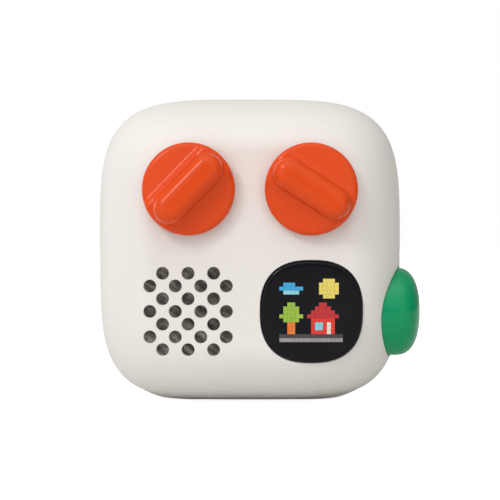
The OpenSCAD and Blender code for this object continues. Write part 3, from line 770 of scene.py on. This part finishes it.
# ---------------------------------------------------------------- materials
class Mat:
    """Builds one procedural material: tints from noise, roughness from noise, and bump."""

    def __init__(self, name, rough, metallic=0.0, spec=0.5, coat=0.0, coat_rough=0.1, sheen=0.0, ior=1.5):
        self.mat = bpy.data.materials.new(name)
        self.mat.use_nodes = True
        self.nt = self.mat.node_tree
        self.bsdf = self.nt.nodes["Principled BSDF"]
        self.set("Roughness", rough)
        self.set("Metallic", metallic)
        self.set("Specular IOR Level", spec)
        self.set("IOR", ior)
        if coat:
            self.set("Coat Weight", coat)
            self.set("Coat Roughness", coat_rough)
        if sheen:
            self.set("Sheen Weight", sheen)
            self.set("Sheen Roughness", 0.45)
        self.co = self.add("ShaderNodeTexCoord").outputs["Object"]
        self.normal = None

    def set(self, key, value):
        self.bsdf.inputs[key].default_value = value

    def add(self, kind, **props):
        n = self.nt.nodes.new(kind)
        for k, v in props.items():
            setattr(n, k, v)
        return n

    def link(self, a, b):
        self.nt.links.new(a, b)

    def noise(self, scale, detail=3.0, rough=0.55, distort=0.0, stretch=None):
        n = self.add("ShaderNodeTexNoise")
        n.inputs["Scale"].default_value = scale
        n.inputs["Detail"].default_value = detail
        n.inputs["Roughness"].default_value = rough
        n.inputs["Distortion"].default_value = distort
        if stretch:
            m = self.add("ShaderNodeMapping")
            turn = self.add("ShaderNodeMapping")
            turn.inputs["Rotation"].default_value = stretch[0]
            self.link(self.co, turn.inputs["Vector"])
            m.inputs["Scale"].default_value = stretch[1]
            self.link(turn.outputs[0], m.inputs["Vector"])
            self.link(m.outputs[0], n.inputs["Vector"])
        else:
            self.link(self.co, n.inputs["Vector"])
        return n.outputs["Fac"]

    def ramp(self, fac, stops):
        r = self.add("ShaderNodeValToRGB")
        e = r.color_ramp.elements
        while len(e) < len(stops):
            e.new(0.5)
        for el, (p, c) in zip(e, stops):
            el.position = p
            el.color = (*c, 1)
        self.link(fac, r.inputs["Fac"])
        return r.outputs["Color"]

    def tint(self, color, spread, scale, detail=3.0, low=0.35, high=0.65):
        """Base colour that wanders a little round one value."""
        a = tuple(c * (1 - spread) for c in color)
        b = tuple(min(c * (1 + spread), 1) for c in color)
        out = self.ramp(self.noise(scale, detail), [(low, a), (high, b)])
        self.link(out, self.bsdf.inputs["Base Color"])
        return out

    def rough(self, low, high, scale, detail=2.0):
        m = self.add("ShaderNodeMapRange")
        m.inputs["From Min"].default_value = 0.3
        m.inputs["From Max"].default_value = 0.7
        m.inputs["To Min"].default_value = low
        m.inputs["To Max"].default_value = high
        self.link(self.noise(scale, detail), m.inputs["Value"])
        self.link(m.outputs[0], self.bsdf.inputs["Roughness"])

    def bump(self, height, distance, strength=1.0):
        b = self.add("ShaderNodeBump")
        b.inputs["Strength"].default_value = strength
        b.inputs["Distance"].default_value = distance
        self.link(height, b.inputs["Height"])
        if self.normal:
            self.link(self.normal, b.inputs["Normal"])
        self.normal = b.outputs["Normal"]
        self.link(self.normal, self.bsdf.inputs["Normal"])
        if "Coat Normal" in self.bsdf.inputs:
            self.link(self.normal, self.bsdf.inputs["Coat Normal"])


def plastic(name, color, low, high, spread=0.02, grain=0.012, spec=0.5, scale=900.0):
    """Moulded plastic: fine spark-eroded grain, faint flow clouds in the colour."""
    m = Mat(name, (low + high) / 2, spec=spec)
    m.tint(color, spread, 60.0)
    m.rough(low, high, 140.0, 4.0)
    m.bump(m.noise(scale, 2.0, 0.6), grain * 0.001)
    return m


def metal(name, color, low, high, spread=0.06, brushed=None):
    m = Mat(name, (low + high) / 2, metallic=1.0)
    m.tint(color, spread, 180.0)
    m.rough(low, high, 260.0, 4.0)
    m.bump(m.noise(1200.0, 3.0, 0.6, 0.0, brushed), 0.000004)
    return m


CASE = (0.87, 0.832, 0.788)
case = plastic("case", CASE, 0.46, 0.54, 0.008, 0.006)
case.bump(case.noise(35.0, 1.0), 0.00001)
rear_case = case
foot = plastic("foot", (0.74, 0.71, 0.68), 0.62, 0.74, 0.02, 0.015)
trim = plastic("slot_trim", (0.84, 0.785, 0.745), 0.20, 0.27, 0.01, 0.004)
orange = plastic("knob_orange", (0.80, 0.074, 0.007), 0.16, 0.20, 0.02, 0.0015, 0.25)
green = plastic("button_green", (0.0, 0.31, 0.12), 0.12, 0.17, 0.03, 0.0015, 0.30)

glass = Mat("display_lens", 0.07, spec=0.16)
glass.tint((0.0065, 0.006, 0.0085), 0.15, 90.0)
glass.rough(0.055, 0.085, 220.0)
glass.bump(glass.noise(30.0, 1.0), 0.000002)


def pixel_material(letter, rgb):
    """A lit cell behind the lens: it glows, a little unevenly with noise, under gloss."""
    m = Mat("pixel_" + ("off_" if letter == "d" else "lit_") + letter + ("_big" if letter.isupper() else ""), 0.08)
    c = srgb(*rgb)
    m.tint(tuple(v * 0.25 for v in c), 0.2, 700.0)
    glow = m.ramp(m.noise(900.0, 2.0), [(0.3, tuple(v * 0.80 for v in c)), (0.7, tuple(min(1, v * 1.02) for v in c))])
    m.link(glow, m.bsdf.inputs["Emission Color"])
    m.set("Emission Strength", 0.80)
    return m


felt = Mat("grille_cloth", 0.95, spec=0.15, sheen=0.35)
fibre = felt.noise(900.0, 4.0, 0.7, 0.4, ((0, math.radians(52), 0), (1, 1, 0.16)))
cloud = felt.noise(420.0, 3.0)
mixed = felt.add("ShaderNodeMath", operation="MULTIPLY_ADD")
felt.link(fibre, mixed.inputs[0])
mixed.inputs[1].default_value = 0.7
half = felt.add("ShaderNodeMath", operation="MULTIPLY")
felt.link(cloud, half.inputs[0])
half.inputs[1].default_value = 0.3
felt.link(half.outputs[0], mixed.inputs[2])
felt.link(
    felt.ramp(mixed.outputs[0], [(0.38, (0.05, 0.043, 0.038)), (0.50, (0.19, 0.17, 0.155)), (0.62, (0.48, 0.45, 0.42))]),
    felt.bsdf.inputs["Base Color"],
)
felt.bump(mixed.outputs[0], 0.00012)

INSIDE = {
    "dark_plastic": plastic("dark_plastic", (0.022, 0.022, 0.025), 0.48, 0.6, 0.1, 0.02),
    "socket_plastic": plastic("socket_plastic", (0.012, 0.012, 0.014), 0.34, 0.46, 0.1, 0.01),
    "nylon": plastic("nylon", (0.62, 0.60, 0.53), 0.42, 0.55, 0.03, 0.01),
    "led_block": plastic("led_block", (0.72, 0.72, 0.66), 0.35, 0.5, 0.05, 0.01),
    "soft_rubber": plastic("soft_rubber", (0.018, 0.018, 0.018), 0.7, 0.85, 0.15, 0.03),
    "foam": plastic("foam", (0.02, 0.02, 0.02), 0.88, 0.97, 0.35, 0.08, 0.2, 700.0),
    "wire_sleeve": plastic("wire_sleeve", (0.45, 0.02, 0.015), 0.38, 0.5, 0.1, 0.01),
    "flex_film": plastic("flex_film", (0.42, 0.15, 0.02), 0.2, 0.32, 0.12, 0.004),
    "ferrite": plastic("ferrite", (0.045, 0.045, 0.047), 0.5, 0.65, 0.2, 0.03),
    "cone_paper": plastic("cone_paper", (0.02, 0.02, 0.021), 0.8, 0.92, 0.3, 0.06, 0.3, 500.0),
    "spider_cloth": plastic("spider_cloth", (0.42, 0.22, 0.05), 0.8, 0.92, 0.2, 0.05, 0.3, 700.0),
    "tin_plate": metal("tin_plate", (0.62, 0.63, 0.65), 0.24, 0.36),
    "steel": metal("steel", (0.42, 0.43, 0.45), 0.26, 0.42),
    "shaft_metal": metal("shaft_metal", (0.58, 0.59, 0.61), 0.18, 0.3),
    "battery_foil": metal("battery_foil", (0.55, 0.58, 0.64), 0.3, 0.5, 0.1),
    "copper": metal("copper", (0.75, 0.30, 0.13), 0.25, 0.4, 0.1),
}
board = Mat("circuit_board", 0.35)
track = board.add("ShaderNodeTexBrick")
track.inputs["Scale"].default_value = 420.0
track.inputs["Color1"].default_value = (0.006, 0.075, 0.035, 1)
track.inputs["Color2"].default_value = (0.01, 0.10, 0.045, 1)
track.inputs["Mortar"].default_value = (0.02, 0.16, 0.08, 1)
track.inputs["Mortar Size"].default_value = 0.06
board.link(board.co, track.inputs["Vector"])
board.link(track.outputs["Color"], board.bsdf.inputs["Base Color"])
board.rough(0.28, 0.42, 300.0)
board.bump(track.outputs["Fac"], 0.00001)
INSIDE["circuit_board"] = board
BY_SLOT = dict(INSIDE, case=case, foot=foot, slot_trim=trim, knob_orange=orange, button_green=green,
               display_lens=glass, grille_cloth=felt)

finish_piece(shell, case.mat, "housing", ["front_shell"], 0.99945)
finish_piece(rear, case.mat, "housing", ["rear_shell"], 0.99945)
finish_piece(pad, foot.mat, "housing", ["base_pad"])
finish_piece(lip, trim.mat, "housing", ["card_slot_lip"], 0.99945)
finish_piece(cloth, felt.mat, "housing", ["grille_cloth"])
finish_piece(lens, glass.mat, "housing", ["display_lens"])
finish_piece(left_knob, orange.mat, "left_knob", ["left_knob"])
finish_piece(right_knob, orange.mat, "right_knob", ["right_knob"])
finish_piece(button, green.mat, "power_button", ["power_button"])
for letter, rgb in LIT.items():
    tile = raw("display_cells_" + letter + ("2" if letter.isupper() else ""), *pixel_mesh(letter))
    finish_piece(tile, pixel_material(letter, rgb).mat, "housing")

slot_of = {p["node"]: p["material_slot"] for p in frame["record"]["subparts"]}
for name, ob in nodes.items():
    ob.data.materials.clear()
    ob.data.materials.append(BY_SLOT[slot_of[name]].mat)

# ---------------------------------------------------------------- camera
scene = bpy.context.scene
eye, aim = Vector((0.0, -0.441, 0.03899)), Vector((0.000033, -0.001, 0.03507))
cam = bpy.data.objects.new("camera", bpy.data.cameras.new("camera"))
scene.collection.objects.link(cam)
cam.location = eye
cam.rotation_euler = (aim - eye).to_track_quat("-Z", "Y").to_euler()
cam.data.sensor_width = 36.0
cam.data.lens = 135.56
cam.data.clip_start, cam.data.clip_end = 0.01, 50.0
scene.camera = cam
scene.view_settings.view_transform = "Standard"
scene.view_settings.look = "None"

# ---------------------------------------------------------------- floor, light
def direction(az, el):
    """Unit vector towards a light; azimuth 0 is the camera's side, 90 is +X."""
    a, b = math.radians(az), math.radians(el)
    return (math.sin(a) * math.cos(b), -math.cos(a) * math.cos(b), math.sin(b))


# azimuth, elevation, narrowness, colour
LOBES = [
    (0, 80, 12.0, (0.66, 0.64, 0.63)),
    (-45, 55, 12.0, (1.10, 1.11, 1.11)),
    (0, 55, 12.0, (0.95, 0.94, 0.925)),
    (45, 55, 12.0, (0.88, 0.85, 0.82)),
    (0, 28, 12.0, (0.66, 0.68, 0.68)),
    (-120, 2, 12.0, (2.2, 2.2, 2.2)),
    (-90, 2, 12.0, (0.264, 0.272, 0.28)),
    (-30, 2, 12.0, (1.38, 1.42, 1.43)),
    (30, 2, 12.0, (1.12, 1.10, 1.09)),
    (-30, -25, 12.0, (0.70, 0.71, 0.71)),
    (20, -60, 8.0, (0.40, 0.39, 0.385)),
    (-45, 40, 30.0, (0.84, 0.864, 0.864)),
    (-35, 20, 30.0, (0.30, 0.32, 0.32)),
    (75, 15, 6.0, (0.04, 0.036, 0.032)),
    (180, 35, 2.0, (0.64, 0.635, 0.63)),
]
world = bpy.data.worlds.new("studio")
scene.world = world
world.use_nodes = True
wt = world.node_tree
wt.nodes.clear()
wco = wt.nodes.new("ShaderNodeTexCoord").outputs["Generated"]

# the room is dim behind the camera
lens_side = wt.nodes.new("ShaderNodeVectorMath")
lens_side.operation = "DOT_PRODUCT"
lens_side.inputs[1].default_value = (0, -1, 0)
wt.links.new(wco, lens_side.inputs[0])
fall = wt.nodes.new("ShaderNodeMath")
fall.operation = "MULTIPLY_ADD"
fall.inputs[1].default_value, fall.inputs[2].default_value = 60, -60
wt.links.new(lens_side.outputs["Value"], fall.inputs[0])
near = wt.nodes.new("ShaderNodeMath")
near.operation = "EXPONENT"
wt.links.new(fall.outputs[0], near.inputs[0])
dim = wt.nodes.new("ShaderNodeMath")
dim.operation = "MULTIPLY_ADD"
dim.inputs[1].default_value, dim.inputs[2].default_value = -0.88, 1.0
wt.links.new(near.outputs[0], dim.inputs[0])

total = None
for i, (az, el, sharp, color) in enumerate(LOBES):
    dot = wt.nodes.new("ShaderNodeVectorMath")
    dot.operation = "DOT_PRODUCT"
    dot.inputs[1].default_value = direction(az, el)
    wt.links.new(wco, dot.inputs[0])
    mad = wt.nodes.new("ShaderNodeMath")
    mad.operation = "MULTIPLY_ADD"
    mad.inputs[1].default_value = sharp
    mad.inputs[2].default_value = -sharp
    wt.links.new(dot.outputs["Value"], mad.inputs[0])
    ex = wt.nodes.new("ShaderNodeMath")
    ex.operation = "EXPONENT"
    wt.links.new(mad.outputs[0], ex.inputs[0])
    bg = wt.nodes.new("ShaderNodeBackground")
    bg.name = "lobe_%d" % i
    bg.inputs["Color"].default_value = (*[0.825 * c for c in color], 1)
    part = wt.nodes.new("ShaderNodeMath")
    part.operation = "MULTIPLY"
    wt.links.new(ex.outputs[0], part.inputs[0])
    wt.links.new(dim.outputs[0], part.inputs[1])
    wt.links.new(part.outputs[0], bg.inputs["Strength"])
    if total is None:
        total = bg.outputs[0]
    else:
        add = wt.nodes.new("ShaderNodeAddShader")
        wt.links.new(total, add.inputs[0])
        wt.links.new(bg.outputs[0], add.inputs[1])
        total = add.outputs[0]
white = wt.nodes.new("ShaderNodeBackground")
white.inputs["Color"].default_value = (1, 1, 1, 1)
path = wt.nodes.new("ShaderNodeLightPath")
pick = wt.nodes.new("ShaderNodeMixShader")
wt.links.new(path.outputs["Is Camera Ray"], pick.inputs["Fac"])
wt.links.new(total, pick.inputs[1])
wt.links.new(white.outputs[0], pick.inputs[2])
wout = wt.nodes.new("ShaderNodeOutputWorld")
wt.links.new(pick.outputs[0], wout.inputs["Surface"])

# a pale table top with slightly uneven white lacquer
fm = bmesh.new()
bmesh.ops.create_grid(fm, x_segments=24, y_segments=24, size=4.0)
fme = bpy.data.meshes.new("floor")
fm.to_mesh(fme)
fm.free()
floor = bpy.data.objects.new("floor", fme)
scene.collection.objects.link(floor)
fmat = Mat("floor", 0.8, spec=0.2)
fmat.tint((0.82, 0.82, 0.82), 0.01, 8.0)
lamp = fmat.add("ShaderNodeEmission")
lamp.inputs["Color"].default_value = (1, 1, 1, 1)
seen = fmat.add("ShaderNodeLightPath")
both = fmat.add("ShaderNodeAddShader")
gain = fmat.add("ShaderNodeMath", operation="MULTIPLY")
gain.inputs[1].default_value = 0.92
fmat.link(seen.outputs["Is Camera Ray"], gain.inputs[0])
fmat.link(gain.outputs[0], lamp.inputs["Strength"])
fmat.link(fmat.bsdf.outputs[0], both.inputs[0])
fmat.link(lamp.outputs[0], both.inputs[1])
fmat.link(both.outputs[0], fmat.nt.nodes["Material Output"].inputs["Surface"])
fme.materials.append(fmat.mat)


# one soft key lamp, high on the left of the camera, over the even light of the room
key_data = bpy.data.lights.new("key", "SUN")
key_data.energy, key_data.angle = 0.56, math.radians(12)
key = bpy.data.objects.new("key", key_data)
scene.collection.objects.link(key)
key.rotation_euler = Vector(direction(-38, 35)).to_track_quat("Z", "Y").to_euler()
